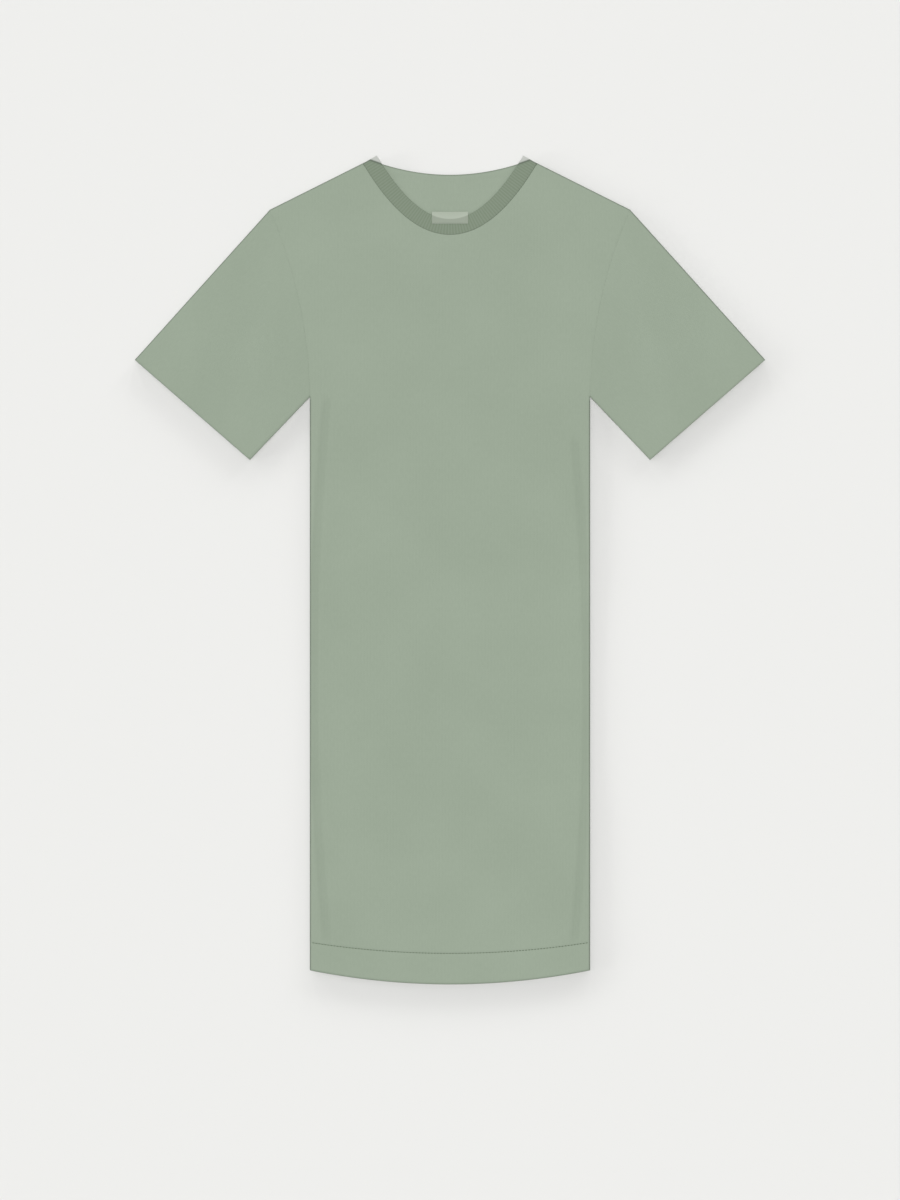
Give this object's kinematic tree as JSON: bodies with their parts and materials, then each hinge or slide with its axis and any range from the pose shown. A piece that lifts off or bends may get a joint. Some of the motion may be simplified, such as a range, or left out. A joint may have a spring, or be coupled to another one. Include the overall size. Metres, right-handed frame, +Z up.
{
  "type": "longline t-shirt",
  "caption": "Short-sleeved longline t-shirt laid flat, face up, with a deep round neck, a rib neckband and a bare neck label.",
  "frame": {"origin": "on the surface the garment lies on, under the middle of its length and width", "axes": "+Y from the hem towards the collar, +Z up through the front, +X towards the sleeve at the picture's right"},
  "size_m": [0.7876, 1.035, 0.0053],
  "materials": {
    "jersey": "matt cotton jersey, sage green",
    "rib": "matt cotton rib, darker sage green",
    "label": "satin-woven tape, pale sage"
  },
  "bodies": {
    "root": {"back_panel": "jersey", "front_panel": "jersey", "sleeve_right": "jersey", "sleeve_left": "jersey", "neck_band": "rib", "neck_label": "label"}
  },
  "joints": []
}
